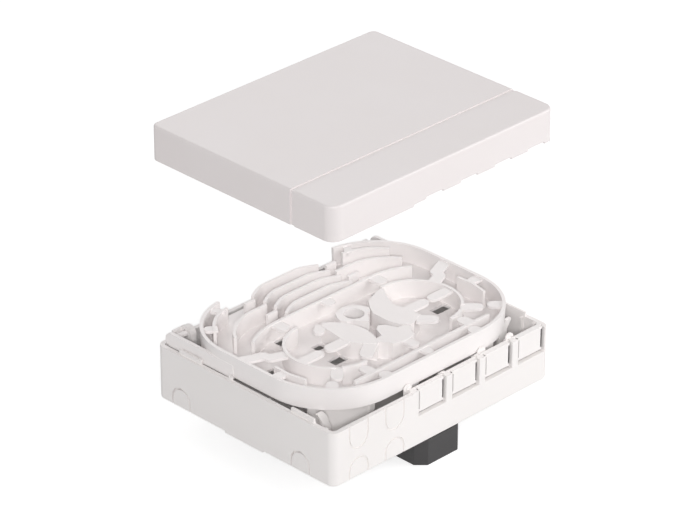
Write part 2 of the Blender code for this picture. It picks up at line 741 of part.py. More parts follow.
def tub_wall():
    """The tub's outer wall, drafted so that it leaves its mould."""
    foot = ribbon(tray_path(TRAY_WALL / 2 + TRAY_DRAFT), TRAY_WALL)
    brow = ribbon(tray_path(TRAY_WALL / 2), TRAY_WALL)
    return loft("tub_wall", [(foot, TRAY_BOTTOM), (brow, TRAY_RIM)])


def make_tray(material):
    floor_path = tray_path(TRAY_WALL / 2 + TRAY_DRAFT)
    back = BACK - HINGE_INSET - 0.6 * MM
    floor_outline = floor_path + [(floor_path[-1][0], back), (floor_path[0][0], back)]
    level = TRAY_BOTTOM + SEAM_GAP
    tray = prism("splice_tray", floor_outline, level, level + TRAY_FLOOR)
    carve(tray, floor_windows())
    root = level + TRAY_FLOOR / 2
    parts = [tub_wall()]
    for name, path in end_walls():
        outline = ribbon(on_tray(path), TRAY_RIB)
        parts.append(prism(name, anticlockwise(outline), root, RIB_TOP))
    for name, path in ring_walls():
        outline = ribbon(on_tray(path), TRAY_RIB)
        parts.append(prism(name, anticlockwise(outline), root, RIB_TOP + 0.2 * MM))
    for name, outline in islands().items():
        parts.append(prism(name, outline, root, RIB_TOP - 0.1 * MM))
    top = RIB_TOP - TAB_DROP
    for name, start, end, width in tab_bars():
        outline = anticlockwise(on_tray(bar(start, end, width)))
        parts.append(prism(name, outline, top - TAB_THICK, top))
    parts += tray_arms()
    fuse(tray, parts)
    hole = circle(on_tray([(0, 50)])[0], FINGER_HOLE)
    carve(tray, [prism("finger_hole", hole, TRAY_BOTTOM - MM, TRAY_RIM + MM)])
    finish(tray, material)
    set_origin(tray, 0, HINGE_Y, HINGE_Z)
    return tray


def foot_outline(front, rear):
    half = FOOT_WIDTH / 2
    cut = FOOT_CHAMFER
    return [
        (cut - half, front),
        (half - cut, front),
        (half, front + cut),
        (half, rear),
        (-half, rear),
        (-half, front + cut),
    ]


def latch_levels():
    """Bottom of the tongue, bottom of the wide part, and top of the latch."""
    bottom = 0.6 * MM
    return bottom, bottom + LATCH_LIP, bottom + LATCH_LIP + LATCH_THICK


def make_carrier(material):
    front = FRONT + 0.2 * MM
    top = BASE_BOTTOM - SEAM_GAP
    carrier = prism("rail_carrier", foot_outline(front, FOOT_REAR), 0, top)
    slot_half = RAIL_WIDTH / 2 + RAIL_GAP
    hook_face = slot_half - HOOK_REACH
    wide = FOOT_WIDTH
    slot_top = HOOK_DEPTH + RAIL_SLOT
    bottom, ledge, roof = latch_levels()
    roof += LATCH_GAP
    cuts = [block("rail_space", (-wide, -slot_half, -MM), (wide, hook_face, slot_top))]
    cuts.append(block("rail_groove", (-wide, -slot_half, HOOK_DEPTH), (wide, slot_half, slot_top)))
    half = LATCH_WIDTH / 2 + LATCH_GAP
    throat = LATCH_TONGUE / 2 + LATCH_GAP
    start = front + FOOT_FRONT_WALL
    stop = -slot_half - 2 * MM
    runner_low = ledge - LATCH_GAP
    cuts.append(block("latch_runner", (-half, start, runner_low), (half, stop, roof)))
    cuts.append(block("latch_throat", (-throat, start, -MM), (throat, 0, roof - 0.1 * MM)))
    for k, y in enumerate(screw_places()):
        hole = circle((0, y), SCREW_SHANK + PIN_GAP, 16)
        cuts.append(prism(f"pilot_{k}", hole, top - SCREW_DEPTH - 2 * SEAM_GAP, top + MM))
    carve(carrier, cuts)
    finish(carrier, material)
    return carrier


def latch_rear():
    """The sprung end of the latch, on the side of the foot's front wall."""
    return -RAIL_WIDTH / 2 - RAIL_GAP - 2 * MM - LATCH_GAP - LATCH_LENGTH


def make_latch(material):
    bottom, ledge, roof = latch_levels()
    slot_half = RAIL_WIDTH / 2 + RAIL_GAP
    rear = latch_rear()
    shoulder = rear + LATCH_LENGTH
    half = LATCH_WIDTH / 2
    tongue = LATCH_TONGUE / 2
    latch = block("rail_latch", (-half, rear, ledge), (half, shoulder, roof))
    jaw_top = HOOK_DEPTH - SEAM_GAP
    tip = HOOK_REACH - slot_half
    profile = [
        (rear + MM, bottom),
        (tip - MM, bottom),
        (tip, bottom + MM),
        (tip, jaw_top),
        (-slot_half - 0.2 * MM, jaw_top),
        (-slot_half - 0.2 * MM, roof - 0.2 * MM),
        (rear + MM, roof - 0.2 * MM),
    ]
    fuse(latch, [prism("latch_tongue", profile, -tongue, tongue, along_x)])
    y = rear + 5 * MM
    tool_low = (-tongue * 0.7, y, bottom - MM)
    tool_high = (tongue * 0.7, y + TOOL_SLOT, roof - MM)
    carve(latch, [block("tool_slot", tool_low, tool_high)])
    finish(latch, material)
    set_origin(latch, 0, shoulder, bottom)
    return latch


def make_spring(material):
    """A compression spring between the foot's front wall and the latch."""
    start = FRONT + 0.2 * MM + FOOT_FRONT_WALL + SEAM_GAP
    end = latch_rear() - SEAM_GAP
    bottom, ledge, roof = latch_levels()
    level = (ledge + roof) / 2
    half = SPRING_WIRE / 2
    steps = SPRING_TURNS * 12
    sides = 6
    vertices = []
    for k in range(steps + 1):
        part = k / steps
        turn = math.tau * SPRING_TURNS * part
        y = start + half + (end - start - 2 * half) * part
        for around in range(sides):
            tilt = math.tau * around / sides
            reach = SPRING_RADIUS + half * math.cos(tilt)
            x = reach * math.cos(turn)
            vertices.append((x, y + half * math.sin(tilt), level + reach * math.sin(turn)))
    faces = [tuple(reversed(range(sides))), tuple(range(steps * sides, (steps + 1) * sides))]
    for k in range(steps):
        for around in range(sides):
            low = k * sides + around
            after = k * sides + (around + 1) % sides
            faces.append((low, after, after + sides, low + sides))
    mesh = bpy.data.meshes.new("latch_spring")
    mesh.from_pydata(vertices, [], faces)
    spring = bpy.data.objects.new("latch_spring", mesh)
    bpy.context.scene.collection.objects.link(spring)
    finish(spring, material, 70)
    return spring


def make_screw(number, y, material):
    """A pan-head screw, turned from its outline, with a cross slot."""
    under_head = FLOOR_TOP + SEAM_GAP
    tip = BASE_BOTTOM - SEAM_GAP - SCREW_DEPTH
    sections = [
        (circle((0, y), SCREW_SHANK * 0.4, 16), tip),
        (circle((0, y), SCREW_SHANK, 16), tip + MM),
        (circle((0, y), SCREW_SHANK, 16), under_head),
        (circle((0, y), SCREW_HEAD, 16), under_head),
        (circle((0, y), SCREW_HEAD, 16), under_head + SCREW_HEAD_HEIGHT * 0.5),
        (circle((0, y), SCREW_HEAD * 0.7, 16), under_head + SCREW_HEAD_HEIGHT),
    ]
    screw = loft(f"carrier_screw_{number}", sections)
    top = under_head + SCREW_HEAD_HEIGHT
    arm, half = SCREW_HEAD * 0.55, 0.35 * MM
    across = block(f"slot_x_{number}", (-arm, y - half, top - MM), (arm, y + half, top + MM))
    along = block(f"slot_y_{number}", (-half, y - arm, top - MM), (half, y + arm, top + MM))
    carve(screw, [across, along])
    finish(screw, material)
    return screw


def main():
    clear_scene()
    white = plastic("white_abs", (0.86, 0.86, 0.87), 0.42)
    black = plastic("black_polyamide", (0.02, 0.02, 0.022), 0.5)
    wire = steel("spring_steel")
    make_base(white)
    make_lid(plastic("lid_abs", (0.86, 0.86, 0.87), 0.38))
    make_tray(plastic("tray_abs", (0.88, 0.88, 0.88), 0.4))
    for k, centre in enumerate(port_centres()):
        make_blank(k + 1, centre, white)
    make_carrier(black)
    make_latch(black)
    make_spring(wire)
    for k, y in enumerate(screw_places()):
        make_screw(k + 1, y, wire)


main()
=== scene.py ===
# %% [markdown]
# # DIN rail fibre box
#
# A small white box that hangs on a mounting rail and keeps the splices of a fibre
# cable. Its lid is lifted off, so that the hinged splice tray shows. The CAD model
# comes in as a fixed frame of solids. This file dresses it: rounded moulded edges,
# a few pieces modelled afresh, the finishes, the studio and the camera.

import json
import math

import bmesh
import bpy
from mathutils import Matrix, Vector

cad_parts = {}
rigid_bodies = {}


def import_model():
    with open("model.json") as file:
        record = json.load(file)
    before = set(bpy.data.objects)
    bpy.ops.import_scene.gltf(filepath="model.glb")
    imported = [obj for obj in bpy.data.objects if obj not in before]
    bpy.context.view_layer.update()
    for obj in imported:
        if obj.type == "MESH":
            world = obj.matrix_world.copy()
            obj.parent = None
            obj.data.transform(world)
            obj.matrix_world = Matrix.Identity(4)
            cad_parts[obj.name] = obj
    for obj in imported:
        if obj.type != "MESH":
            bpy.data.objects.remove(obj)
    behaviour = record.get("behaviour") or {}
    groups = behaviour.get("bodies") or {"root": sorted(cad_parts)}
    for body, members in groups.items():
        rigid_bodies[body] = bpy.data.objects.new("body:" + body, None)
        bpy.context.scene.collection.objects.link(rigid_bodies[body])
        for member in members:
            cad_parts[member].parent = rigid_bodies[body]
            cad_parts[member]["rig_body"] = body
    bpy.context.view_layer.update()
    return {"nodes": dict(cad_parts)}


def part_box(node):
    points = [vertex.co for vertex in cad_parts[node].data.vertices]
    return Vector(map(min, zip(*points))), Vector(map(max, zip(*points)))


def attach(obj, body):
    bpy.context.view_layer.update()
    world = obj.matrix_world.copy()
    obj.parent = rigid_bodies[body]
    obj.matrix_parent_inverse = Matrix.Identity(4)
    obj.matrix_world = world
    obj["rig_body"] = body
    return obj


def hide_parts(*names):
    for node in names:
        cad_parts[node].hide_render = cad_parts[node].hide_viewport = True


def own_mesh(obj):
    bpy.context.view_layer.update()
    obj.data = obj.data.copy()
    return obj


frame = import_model()

# %% [markdown]
# Sizes here are written in millimetres, as on the moulder's drawing, and turned into
# Blender's metres by one factor.

# %% Units and small helpers
MM = 0.001
EDGE_RADIUS = 0.22 * MM
SMOOTH_BELOW = math.radians(38)


def deselect_all():
    """An operator acts on all that is selected, so each piece starts from nothing."""
    if bpy.context.object and bpy.context.object.mode != "OBJECT":
        bpy.ops.object.mode_set(mode="OBJECT")
    bpy.ops.object.select_all(action="DESELECT")


def make_active(piece):
    deselect_all()
    piece.select_set(True)
    bpy.context.view_layer.objects.active = piece


def count_triangles(piece):
    return sum(len(face.vertices) - 2 for face in piece.data.polygons)


def linear(hex_colour):
    """An sRGB hex value as the linear colour that Blender works in."""
    parts = [int(hex_colour[k : k + 2], 16) / 255 for k in (1, 3, 5)]
    return [p / 12.92 if p <= 0.04045 else ((p + 0.055) / 1.055) ** 2.4 for p in parts] + [1]


def add_node(tree, kind, settings=None, links=None):
    """One node of a material, with its settings and its incoming links."""
    node = tree.nodes.new(kind)
    for key, value in (settings or {}).items():
        if isinstance(key, int) or key in node.inputs:
            node.inputs[key].default_value = value
        else:
            setattr(node, key, value)
    for key, source in (links or {}).items():
        tree.links.new(source, node.inputs[key])
    return node


# %% [markdown]
# ## Moulded ABS
#
# The base, the lid, the tray and the plates are injection-moulded ABS, a tough white
# plastic. Three things tell the eye that it is moulded plastic and not paint. The
# steel mould was eroded to a fine satin grain, the melt cooled unevenly so that the
# white is a shade warmer here and there, and the gloss varies a little with it.
#
# The real grain is about 0.08 mm wide, which is finer than a pixel of the picture, so
# it is drawn at 0.35 mm to show at all. All of it reads Object coordinates, which on
# these pieces are simply places in space, so the grain has the same size everywhere.


# %% Material for moulded ABS
FLOW_WIDTH = 30 * MM


def moulded_abs(name, shade, warm_shade, roughness, grain_width, grain_height):
    made = bpy.data.materials.new(name)
    made.use_nodes = True
    tree = made.node_tree
    shader = tree.nodes["Principled BSDF"]
    shader.inputs["IOR"].default_value = 1.52
    place = add_node(tree, "ShaderNodeTexCoord").outputs["Object"]
    # wide clouds: where the melt was warmer the white is a shade yellower
    flow = add_node(
        tree,
        "ShaderNodeTexNoise",
        {"Scale": 1 / FLOW_WIDTH, "Detail": 2.0, "Roughness": 0.5},
        {"Vector": place},
    )
    tone = add_node(
        tree,
        "ShaderNodeMix",
        {"data_type": "RGBA", 6: linear(shade), 7: linear(warm_shade)},
        {0: flow.outputs["Fac"]},
    )
    tree.links.new(tone.outputs[2], shader.inputs["Base Color"])
    # spark-eroded grain, drawn coarser than life
    grain = add_node(
        tree,
        "ShaderNodeTexNoise",
        {"Scale": 1 / grain_width, "Detail": 3.0, "Roughness": 0.6},
        {"Vector": place},
    )
    gloss = add_node(
        tree,
        "ShaderNodeMapRange",
        {"From Min": 0.3, "From Max": 0.7, "To Min": roughness - 0.05, "To Max": roughness + 0.07},
        {"Value": grain.outputs["Fac"]},
    )
    tree.links.new(gloss.outputs["Result"], shader.inputs["Roughness"])
    relief = add_node(
        tree,
        "ShaderNodeBump",
        {"Strength": 0.6, "Distance": grain_height},
        {"Height": grain.outputs["Fac"]},
    )
    tree.links.new(relief.outputs["Normal"], shader.inputs["Normal"])
    return made


GRAIN_WIDTH = 0.35 * MM
base_abs = moulded_abs(
    "satin moulded white ABS", "#F5F1F0", "#F1EDEB", 0.46, GRAIN_WIDTH, 0.012 * MM
)
# the lid's white is set darker than the base's: painted shade, on the same ABS
lid_abs_painted_shade = moulded_abs(
    "fine-grained white ABS of the lid with painted shade", "#E8E2E2", "#E5DEDD", 0.42, GRAIN_WIDTH, 0.01 * MM
)
# the tray's white is set lighter than the base's: painted light against the shade under the lifted
# lid
tray_abs_painted_light = moulded_abs(
    "moulded ABS of the tray with painted light", "#F7F3F2", "#F4EFEE", 0.44, GRAIN_WIDTH, 0.01 * MM
)

# %% [markdown]
# ## Glass-filled polyamide
#
# The rail foot and its latch are black polyamide with short glass fibres, because ABS
# would creep under the latch's spring. The fibres lie just under the skin, so it is
# matte charcoal rather than black, with lighter flecks and a rougher grain than ABS.


# %% Material for glass-filled polyamide
FLECK_LENGTH = 0.4 * MM


def glass_filled_polyamide(name):
    made = bpy.data.materials.new(name)
    made.use_nodes = True
    tree = made.node_tree
    shader = tree.nodes["Principled BSDF"]
    shader.inputs["IOR"].default_value = 1.53
    place = add_node(tree, "ShaderNodeTexCoord").outputs["Object"]
    # fibre flecks, stretched along the flow from front to back
    stretched = add_node(tree, "ShaderNodeMapping", {"Scale": (1.0, 0.35, 1.0)}, {"Vector": place})
    flecks = add_node(
        tree,
        "ShaderNodeTexNoise",
        {"Scale": 1 / FLECK_LENGTH, "Detail": 4.0, "Roughness": 0.65},
        {"Vector": stretched.outputs["Vector"]},
    )
    charcoal = add_node(
        tree,
        "ShaderNodeMix",
        {"data_type": "RGBA", 6: linear("#262526"), 7: linear("#3E3C3D")},
        {0: flecks.outputs["Fac"]},
    )
    tree.links.new(charcoal.outputs[2], shader.inputs["Base Color"])
    gloss = add_node(
        tree,
        "ShaderNodeMapRange",
        {"From Min": 0.3, "From Max": 0.7, "To Min": 0.5, "To Max": 0.68},
        {"Value": flecks.outputs["Fac"]},
    )
    tree.links.new(gloss.outputs["Result"], shader.inputs["Roughness"])
    relief = add_node(
        tree,
        "ShaderNodeBump",
        {"Strength": 0.8, "Distance": 0.02 * MM},
        {"Height": flecks.outputs["Fac"]},
    )
    tree.links.new(relief.outputs["Normal"], shader.inputs["Normal"])
    return made


foot_polyamide = glass_filled_polyamide("black glass-filled polyamide")

# %% [markdown]
# ## Drawn and plated steel
#
# The latch's spring is cold-drawn wire: grey steel with fine die lines. The two screws
# are zinc plated: brighter, faintly blue, with soft clouds where the bath was uneven.


# %% Material for steel
def bright_steel(name, shade, dull_shade, roughness, cloud_width):
    made = bpy.data.materials.new(name)
    made.use_nodes = True
    tree = made.node_tree
    shader = tree.nodes["Principled BSDF"]
    shader.inputs["Metallic"].default_value = 1.0
    place = add_node(tree, "ShaderNodeTexCoord").outputs["Object"]
    clouds = add_node(
        tree,
        "ShaderNodeTexNoise",
        {"Scale": 1 / cloud_width, "Detail": 3.0, "Roughness": 0.6},
        {"Vector": place},
    )
    tint = add_node(
        tree,
        "ShaderNodeMix",
        {"data_type": "RGBA", 6: linear(shade), 7: linear(dull_shade)},
        {0: clouds.outputs["Fac"]},
    )
    tree.links.new(tint.outputs[2], shader.inputs["Base Color"])
    gloss = add_node(
        tree,
        "ShaderNodeMapRange",
        {"From Min": 0.3, "From Max": 0.7, "To Min": roughness - 0.06, "To Max": roughness + 0.1},
        {"Value": clouds.outputs["Fac"]},
    )
    tree.links.new(gloss.outputs["Result"], shader.inputs["Roughness"])
    return made


spring_wire = bright_steel("cold-drawn spring wire", "#C9C9CC", "#A9A9AC", 0.3, 0.25 * MM)
zinc_plate = bright_steel("blue zinc plate", "#D5D9DE", "#BBC0C6", 0.28, 0.8 * MM)

# %% [markdown]
# ## The large mouldings
#
# The base and the tray are right as they come from CAD, but a real moulding has no
# knife edges: the mould's corners are rounded by a fifth of a millimetre, and each
# edge catches a fine line of light. A copy of the CAD mesh is merged, its flat faces
# are joined, its edges are bevelled, and weighted normals keep the flats flat. The
# copy then stands for the node, which stays in place for the simulation.


# %% Copy a moulding and round its edges
def soften(piece, edge_radius=EDGE_RADIUS, segments=2):
    """Rounds every sharp edge and keeps the flat faces looking flat."""
    make_active(piece)
    edges = piece.modifiers.new("mould_edges", "BEVEL")
    edges.width = edge_radius
    edges.segments = segments
    edges.limit_method = "ANGLE"
    edges.angle_limit = SMOOTH_BELOW
    bpy.ops.object.modifier_apply(modifier=edges.name)
    bpy.ops.object.shade_smooth_by_angle(angle=SMOOTH_BELOW)
    flats = piece.modifiers.new("flat_faces", "WEIGHTED_NORMAL")
    flats.keep_sharp = True
    bpy.ops.object.modifier_apply(modifier=flats.name)


def dress(piece, nodes, material):
    """Gives a finished piece its material and its body, and hides the nodes that it stands for."""
    piece.data.materials.clear()
    piece.data.materials.append(material)
    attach(piece, frame["nodes"][nodes[0]]["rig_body"])
    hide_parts(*nodes)
    print(piece.name, count_triangles(piece), "triangles")


def rounded_copy(node_name, piece_name, material, edge_radius=EDGE_RADIUS):
    mesh = frame["nodes"][node_name].data.copy()
    piece = bpy.data.objects.new(piece_name, mesh)
    bpy.context.scene.collection.objects.link(piece)
    make_active(piece)
    bpy.ops.object.mode_set(mode="EDIT")
    bpy.ops.mesh.select_all(action="SELECT")
    bpy.ops.mesh.remove_doubles(threshold=0.02 * MM)
    bpy.ops.mesh.dissolve_limited(angle_limit=math.radians(1))
    bpy.ops.object.mode_set(mode="OBJECT")
    soften(piece, edge_radius)
    dress(piece, [node_name], material)
    return piece


rounded_copy("base_shell", "base_moulding", base_abs)
rounded_copy("splice_tray", "tray_moulding", tray_abs_painted_light)

# %% [markdown]
# The foot and the latch come from a coarser mould with larger radii.

# %% Foot and latch
FOOT_EDGE = 0.35 * MM
LATCH_EDGE = 0.25 * MM
rounded_copy("rail_carrier", "foot_moulding", foot_polyamide, FOOT_EDGE)
rounded_copy("rail_latch", "latch_moulding", foot_polyamide, LATCH_EDGE)

# %% [markdown]
# ## Modelling by hand
#
# The pieces that follow are modelled as at the desk: a block is added at its size, it
# goes into edit mode, and faces and edges are picked by where they lie or point. Two
# small functions do the picking, one adds a block between two corners, and one cuts a
# tool's shape out of a piece with a Boolean modifier, which is then applied.


# %% Picking, blocks and cuts
NEAR = 0.01 * MM


def pick_faces(piece, wanted):
    """Selects the faces whose centre and normal are wanted, in edit mode."""
    bpy.ops.mesh.select_mode(type="FACE")
    bpy.ops.mesh.select_all(action="DESELECT")
    shape = bmesh.from_edit_mesh(piece.data)
    for face in shape.faces:
        face.select_set(wanted(face.calc_center_median(), face.normal))
    bmesh.update_edit_mesh(piece.data)


def pick_edges(piece, wanted):
    """Selects the edges whose two ends are wanted, in edit mode."""
    bpy.ops.mesh.select_mode(type="EDGE")
    bpy.ops.mesh.select_all(action="DESELECT")
    shape = bmesh.from_edit_mesh(piece.data)
    for edge in shape.edges:
        edge.select_set(wanted(edge.verts[0].co, edge.verts[1].co))
    bmesh.update_edit_mesh(piece.data)


def block(name, low, high):
    """A block between two corners, with its place in its mesh."""
    deselect_all()
    low, high = Vector(low), Vector(high)
    bpy.ops.mesh.primitive_cube_add(size=1, location=(low + high) / 2)
    piece = bpy.context.object
    piece.name = name
    bpy.ops.transform.resize(value=high - low)
    bpy.ops.object.transform_apply(location=True, rotation=True, scale=True)
    return piece


def cut_away(piece, tool):
    """Takes the tool's shape out of the piece, and the tool is gone."""
    make_active(piece)
    step = piece.modifiers.new("cut", "BOOLEAN")
    step.operation = "DIFFERENCE"
    step.solver = "EXACT"
    step.object = tool
    bpy.ops.object.modifier_apply(modifier=step.name)
    bpy.data.objects.remove(tool)


def extrude_by(x, y, z):
    bpy.ops.mesh.extrude_region_move(TRANSFORM_OT_translate={"value": (x, y, z)})


# %% [markdown]
# ## Blanking plates
#
# Four plates close the port slots. Each is a slab whose edges run in the grooves of the
# posts, with a thicker panel on its front that fills the slot. The panel could be a
# second block laid on the first, but then two faces would lie in each other. So the
# slab is sliced along the panel's outline and the panel's face is drawn out of it.
# Ears are left at the top and foot of the panel's sides, where the cutters leave them,
# and make the dark slots beside each plate. One plate is modelled and the rest are
# copies, each with its own mesh.

# %% Size of a plate
PLATE_SLAB = 1.2 * MM
PLATE_MARGIN = 1.3 * MM
PLATE_FOOT = 0.8 * MM
PLATE_EAR_HIGH = 1.2 * MM
PLATE_EAR_LOW = 1 * MM
PLATE_SIDE = 0.7 * MM
PLATE_EDGE = 0.25 * MM

plate_low, plate_high = (Vector(v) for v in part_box("port_blank_1"))
slab_face = plate_high.y - PLATE_SLAB
panel_left = plate_low.x + PLATE_MARGIN
panel_right = plate_high.x - PLATE_MARGIN
panel_foot = plate_low.z + PLATE_FOOT
print("plate:", [round(v / MM, 1) for v in plate_high - plate_low], "mm")

# %% Slice the slab and draw the panel out
first_plate = block("blank_plate_1", (plate_low.x, slab_face, plate_low.z), plate_high)
make_active(first_plate)
bpy.ops.object.mode_set(mode="EDIT")
for place, across in (
    ((panel_left, 0, 0), (1, 0, 0)),
    ((panel_right, 0, 0), (1, 0, 0)),
    ((0, 0, panel_foot), (0, 0, 1)),
):
    bpy.ops.mesh.select_all(action="SELECT")
    bpy.ops.mesh.bisect(plane_co=place, plane_no=across)
pick_faces(
    first_plate,
    lambda centre, normal: normal.y < -0.9
    and panel_left < centre.x < panel_right
    and centre.z > panel_foot,
)
extrude_by(0, plate_low.y - slab_face, 0)
bpy.ops.object.mode_set(mode="OBJECT")

# %% Cut the sides back between the ears
for name, inner, outer in (
    ("left_cutter", panel_left - MM, panel_left + PLATE_SIDE),
    ("right_cutter", panel_right - PLATE_SIDE, panel_right + MM),
):
    foot = (inner, plate_low.y - MM, panel_foot + PLATE_EAR_LOW)
    top = (outer, slab_face - NEAR, plate_high.z - PLATE_EAR_HIGH)
    cut_away(first_plate, block(name, foot, top))
soften(first_plate, PLATE_EDGE)

# %% Copy the plate into the other slots
plates = [first_plate]
for number in range(2, 5):
    name = f"port_blank_{number}"
    copy = bpy.data.objects.new(f"blank_plate_{number}", first_plate.data.copy())
    bpy.context.scene.collection.objects.link(copy)
    copy.data.transform(Matrix.Translation(Vector(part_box(name)[0]) - plate_low))
    plates.append(copy)
for number, plate in enumerate(plates, 1):
    dress(plate, [f"port_blank_{number}"], base_abs)

# %% [markdown]
# ## Lid
#
# The lid is a shallow shell turned upside down: round corners, a soft upper edge, a
# stepped rim that fits over the base, and one shallow groove across its top and sides.
# It could be a rounded copy of the CAD mesh as the base is. It is modelled by hand,
# because its large plain faces show every facet of a round corner, and a bevel of
# eight steps keeps those corners smooth.

# %% Size of the lid
LID_FRONT_CORNER = 5 * MM
LID_BACK_CORNER = 3 * MM
LID_EDGE = 0.9 * MM
LID_SHARP_EDGE = 0.16 * MM
LID_STEP = 0.9 * MM
LID_STEP_RISE = 2.5 * MM
LID_TOP = 2 * MM
LID_SEAT = 0.9 * MM
GROOVE_PLACE = 20.6 * MM
GROOVE_WIDTH = 2.2 * MM
GROOVE_DEPTH = 0.5 * MM

lid_low, lid_high = (Vector(v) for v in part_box("lid_cover"))
print("lid:", [round(v / MM, 1) for v in lid_high - lid_low], "mm")

# %% [markdown]
# The front corners are rounder than the back ones: the ends of the tray's hinge sit in
# the back corners when the lid is on, so the hollow needs the room there.

# %% Round the corners
lid = block("lid_moulding", lid_low, lid_high)
make_active(lid)
bpy.ops.object.mode_set(mode="EDIT")
pick_edges(lid, lambda a, b: abs(a.z - b.z) > LID_TOP and a.y < 0)
bpy.ops.mesh.bevel(offset=LID_FRONT_CORNER, segments=8, affect="EDGES")
pick_edges(lid, lambda a, b: abs(a.z - b.z) > LID_TOP and a.y > 0)
bpy.ops.mesh.bevel(offset=LID_BACK_CORNER, segments=8, affect="EDGES")

# %% Hollow it from below
pick_faces(lid, lambda centre, normal: normal.z < -0.9)
bpy.ops.mesh.inset(thickness=LID_STEP)
extrude_by(0, 0, LID_STEP_RISE)
bpy.ops.mesh.inset(thickness=LID_STEP)
extrude_by(0, 0, lid_high.z - lid_low.z - LID_TOP - LID_STEP_RISE)

# %% Soften the upper edge
pick_edges(lid, lambda a, b: min(a.z, b.z) > lid_high.z - NEAR)
bpy.ops.mesh.bevel(offset=LID_EDGE, segments=4, affect="EDGES")
bpy.ops.object.mode_set(mode="OBJECT")

# %% [markdown]
# The front wall stops short over the ports, so that it clears the posts and plates, and
# it has a small notch over each plate for a fingernail. Those cuts follow the plates.

# %% Relief and notches over the ports
PORT_PITCH = Vector(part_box("port_blank_2")[0]).x - plate_low.x
PORT_POST = 3.3 * MM
NOTCH_SHARE = 0.6
POST_GAP = 0.3 * MM
WALL_GAP = 0.5 * MM
RIGHT_WALL_LEFT = 2 * MM

slot = PORT_PITCH - PORT_POST
first_port = (plate_low.x + plate_high.x) / 2
relief_left = first_port - PORT_PITCH + slot / 2 - POST_GAP
wall_back = lid_low.y + 2 * LID_STEP + WALL_GAP
wall_front = lid_low.y - MM
relief_low = (relief_left, wall_front, lid_low.z - MM)
relief_high = (lid_high.x - RIGHT_WALL_LEFT, wall_back, lid_low.z + LID_SEAT)
cut_away(lid, block("relief", relief_low, relief_high))
for number in range(4):
    centre = first_port + number * PORT_PITCH
    reach = slot * NOTCH_SHARE / 2
    notch_low = (centre - reach, wall_front, lid_low.z - MM)
    notch_high = (centre + reach, wall_back, lid_low.z + 2 * LID_SEAT)
    cut_away(lid, block("notch", notch_low, notch_high))

# %% [markdown]
# The groove is cut by three bars: one along the top and one down each side.

# %% Groove
groove_front = lid_low.y + GROOVE_PLACE
groove_back = groove_front + GROOVE_WIDTH
for name, left, right, foot in (
    ("groove_top", lid_low.x - MM, lid_high.x + MM, lid_high.z - GROOVE_DEPTH),
    ("groove_left", lid_low.x - MM, lid_low.x + GROOVE_DEPTH, lid_low.z - MM),
    ("groove_right", lid_high.x - GROOVE_DEPTH, lid_high.x + MM, lid_low.z - MM),
):
    bar = block(name, (left, groove_front, foot), (right, groove_back, lid_high.z + MM))
    cut_away(lid, bar)
soften(lid, LID_SHARP_EDGE)
dress(lid, ["lid_cover"], lid_abs_painted_shade)

# %% [markdown]
# ## Latch spring
#
# The latch is pushed home by a small compression spring of drawn wire. A curve with a
# round bevel could make it too, but the Screw modifier keeps the wire's section exact:
# it carries a circle round the spring's axis and along it at once. The circle is added
# on the axis and moved out in edit mode, because the modifier turns about the object's
# origin.

# %% Spring
WIRE_RADIUS = 0.25 * MM
COIL_RADIUS = 1.3 * MM
COIL_TURNS = 6
STEPS_PER_TURN = 28

spring_low, spring_high = (Vector(v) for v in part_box("latch_spring"))
axis_level = (spring_low.z + spring_high.z) / 2
spring_length = spring_high.y - spring_low.y
deselect_all()
bpy.ops.mesh.primitive_circle_add(vertices=10, radius=WIRE_RADIUS, location=(0, 0, axis_level))
spring = bpy.context.object
spring.name = "wire_spring"
bpy.ops.object.mode_set(mode="EDIT")
bpy.ops.transform.translate(value=(COIL_RADIUS, spring_low.y + WIRE_RADIUS, 0))
bpy.ops.object.mode_set(mode="OBJECT")
coil = spring.modifiers.new("coil", "SCREW")
coil.axis = "Y"
coil.iterations = COIL_TURNS
coil.steps = STEPS_PER_TURN
coil.render_steps = STEPS_PER_TURN
coil.screw_offset = (spring_length - 2 * WIRE_RADIUS) / COIL_TURNS
bpy.ops.object.modifier_apply(modifier=coil.name)
bpy.ops.object.transform_apply(location=True, rotation=True, scale=True)
bpy.ops.object.mode_set(mode="EDIT")
bpy.ops.mesh.select_all(action="SELECT")
bpy.ops.mesh.fill_holes(sides=0)
bpy.ops.mesh.select_all(action="SELECT")
bpy.ops.mesh.normals_make_consistent(inside=False)
bpy.ops.object.mode_set(mode="OBJECT")
bpy.ops.object.shade_smooth_by_angle(angle=math.radians(60))
dress(spring, ["latch_spring"], spring_wire)
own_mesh(spring)
print("spring:", round(spring_length / MM, 1), "mm long, wire", 2 * WIRE_RADIUS / MM, "mm")

# %% [markdown]
# ## Screws
#
# Two pan-head screws hold the foot to the base. Each starts as the round of its shank:
# the lower face is drawn down and in to make the point, and the upper one is widened
# under the head and drawn up to make the pan. Two crossed bars cut the recess.

# %% Screw
HEAD_HEIGHT = 2 * MM
POINT_LENGTH = 1 * MM
SHANK_RADIUS = 1.5 * MM
POINT_SHARE = 0.4
PAN_SHARE = 0.7
RECESS_SHARE = 0.55
RECESS_HALF_WIDTH = 0.35 * MM
SCREW_EDGE = 0.08 * MM


def widen(factor, centre):
    bpy.ops.transform.resize(value=(factor, factor, 1), center_override=centre)


